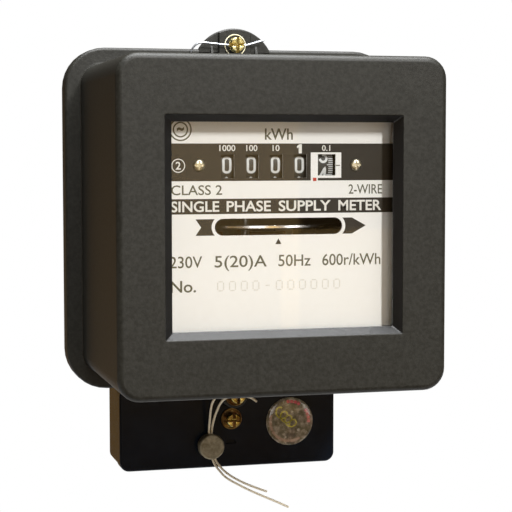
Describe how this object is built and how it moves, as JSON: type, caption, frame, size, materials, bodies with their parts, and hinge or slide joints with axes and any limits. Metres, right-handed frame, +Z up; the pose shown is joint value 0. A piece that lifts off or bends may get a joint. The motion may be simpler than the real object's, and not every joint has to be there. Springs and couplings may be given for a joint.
{
  "type": "electricity meter",
  "caption": "Wall-hung induction watt-hour meter: black case with a bevelled window, digit drums, spinning disc, terminal block, wire and lead seals.",
  "frame": {"origin": "on the wall plane, behind the middle of the case", "axes": "+Z up, +Y into the wall, -Y out of the window towards the reader, +X to the reader's right"},
  "size_m": [0.124, 0.104, 0.1803],
  "materials": {
    "cover_plastic": "black satin moulded plastic",
    "base_phenolic": "black moulded phenolic",
    "block_phenolic": "near-black moulded phenolic with a low sheen",
    "brass": "yellow brass, turned and bright",
    "steel": "bright zinc-plated steel",
    "lamination_steel": "dark laminated core steel",
    "aluminium": "bright rolled aluminium",
    "cast_aluminium": "grey die-cast aluminium",
    "copper_winding": "enamelled copper winding",
    "ferrite": "dark grey sintered magnet",
    "lead": "dull grey-brown lead",
    "drum_plastic": "black drum with white digits",
    "pinion_plastic": "natural white acetal",
    "plate_paint": "warm white printed aluminium sheet",
    "rubber": "black rubber",
    "wire_sheath": "cream plastic-covered wire",
    "sticker_foil": "clear domed sticker over patterned foil",
    "glass": "clear flat glass"
  },
  "bodies": {
    "case": {"front_cover": "cover_plastic", "window_glass": "glass", "cover_gasket": "rubber", "base": "base_phenolic", "cover_screw_top": "brass", "cover_screw_bottom": "brass", "terminal_block": "block_phenolic", "terminal_bar_1": "brass", "terminal_screw_1_lower": "steel", "terminal_screw_1_upper": "steel", "terminal_bar_2": "brass", "terminal_screw_2_lower": "steel", "terminal_screw_2_upper": "steel", "terminal_bar_3": "brass", "terminal_screw_3_lower": "steel", "terminal_screw_3_upper": "steel", "terminal_bar_4": "brass", "terminal_screw_4_lower": "steel", "terminal_screw_4_upper": "steel", "voltage_link": "brass", "voltage_link_screw": "steel", "terminal_cover": "block_phenolic", "terminal_cover_screw": "brass", "main_frame": "cast_aluminium", "upper_bearing": "brass", "lower_bearing": "brass", "voltage_core": "lamination_steel", "voltage_coil": "copper_winding", "current_core": "lamination_steel", "current_coil_left": "copper_winding", "current_coil_right": "copper_winding", "brake_magnet": "ferrite", "nameplate": "plate_paint", "nameplate_screw_left": "steel", "nameplate_screw_right": "steel", "register_frame": "steel", "drum_shaft": "steel", "carry_shaft": "steel", "seal_disc": "lead", "seal_wire_left": "wire_sheath", "seal_wire_right": "wire_sheath", "upper_seal_wire": "steel", "inspection_sticker": "sticker_foil"},
    "rotor": {"rotor_spindle": "steel", "rotor_disc": "aluminium", "rotor_worm": "brass"},
    "worm_wheel_shaft": {"worm_wheel_arbor": "steel", "worm_wheel": "brass"},
    "reduction_shaft": {"reduction_arbor": "steel", "reduction_gear": "brass"},
    "drum_tenths": {"number_drum_tenths": "drum_plastic", "drum_gear": "brass"},
    "drum_1": {"number_drum_1": "drum_plastic"},
    "drum_10": {"number_drum_10": "drum_plastic"},
    "drum_100": {"number_drum_100": "drum_plastic"},
    "drum_1000": {"number_drum_1000": "drum_plastic"},
    "carry_1": {"carry_pinion_1": "pinion_plastic"},
    "carry_2": {"carry_pinion_2": "pinion_plastic"},
    "carry_3": {"carry_pinion_3": "pinion_plastic"},
    "carry_4": {"carry_pinion_4": "pinion_plastic"}
  },
  "joints": [
    {"name": "rotor_spin", "type": "hinge", "parent": "case", "child": "rotor", "pos_m": [0, -0.0501, 0], "axis": [0, 0, 1], "continuous": true},
    {"name": "worm_wheel_spin", "type": "hinge", "parent": "case", "child": "worm_wheel_shaft", "pos_m": [0, -0.0601, 0.02], "axis": [1, 0, 0], "continuous": true},
    {"name": "reduction_spin", "type": "hinge", "parent": "case", "child": "reduction_shaft", "pos_m": [0, -0.0697, 0.02], "axis": [1, 0, 0], "continuous": true},
    {"name": "drum_tenths_spin", "type": "hinge", "parent": "case", "child": "drum_tenths", "pos_m": [0, -0.0817, 0.02], "axis": [1, 0, 0], "continuous": true},
    {"name": "drum_1_spin", "type": "hinge", "parent": "case", "child": "drum_1", "pos_m": [0, -0.0817, 0.02], "axis": [1, 0, 0], "continuous": true},
    {"name": "drum_10_spin", "type": "hinge", "parent": "case", "child": "drum_10", "pos_m": [0, -0.0817, 0.02], "axis": [1, 0, 0], "continuous": true},
    {"name": "drum_100_spin", "type": "hinge", "parent": "case", "child": "drum_100", "pos_m": [0, -0.0817, 0.02], "axis": [1, 0, 0], "continuous": true},
    {"name": "drum_1000_spin", "type": "hinge", "parent": "case", "child": "drum_1000", "pos_m": [0, -0.0817, 0.02], "axis": [1, 0, 0], "continuous": true},
    {"name": "carry_4_spin", "type": "hinge", "parent": "case", "child": "carry_4", "pos_m": [0, -0.07729, 0.0321], "axis": [1, 0, 0], "continuous": true},
    {"name": "carry_3_spin", "type": "hinge", "parent": "case", "child": "carry_3", "pos_m": [0, -0.07729, 0.0321], "axis": [1, 0, 0], "continuous": true},
    {"name": "carry_2_spin", "type": "hinge", "parent": "case", "child": "carry_2", "pos_m": [0, -0.07729, 0.0321], "axis": [1, 0, 0], "continuous": true},
    {"name": "carry_1_spin", "type": "hinge", "parent": "case", "child": "carry_1", "pos_m": [0, -0.07729, 0.0321], "axis": [1, 0, 0], "continuous": true}
  ],
  "couplings": [
    {"joint": "worm_wheel_spin", "follows": "rotor_spin", "ratio": -0.02},
    {"joint": "reduction_spin", "follows": "rotor_spin", "ratio": 0.0066667},
    {"joint": "drum_tenths_spin", "follows": "rotor_spin", "ratio": -0.0016667},
    {"joint": "drum_1_spin", "follows": "rotor_spin", "ratio": -0.00016667},
    {"joint": "drum_10_spin", "follows": "rotor_spin", "ratio": -0.000016667},
    {"joint": "drum_100_spin", "follows": "rotor_spin", "ratio": -0.0000016667},
    {"joint": "drum_1000_spin", "follows": "rotor_spin", "ratio": -0.00000016667},
    {"joint": "carry_4_spin", "follows": "rotor_spin", "ratio": 0.00041667},
    {"joint": "carry_3_spin", "follows": "rotor_spin", "ratio": 0.000041667},
    {"joint": "carry_2_spin", "follows": "rotor_spin", "ratio": 0.0000041667},
    {"joint": "carry_1_spin", "follows": "rotor_spin", "ratio": 0.00000041667}
  ]
}
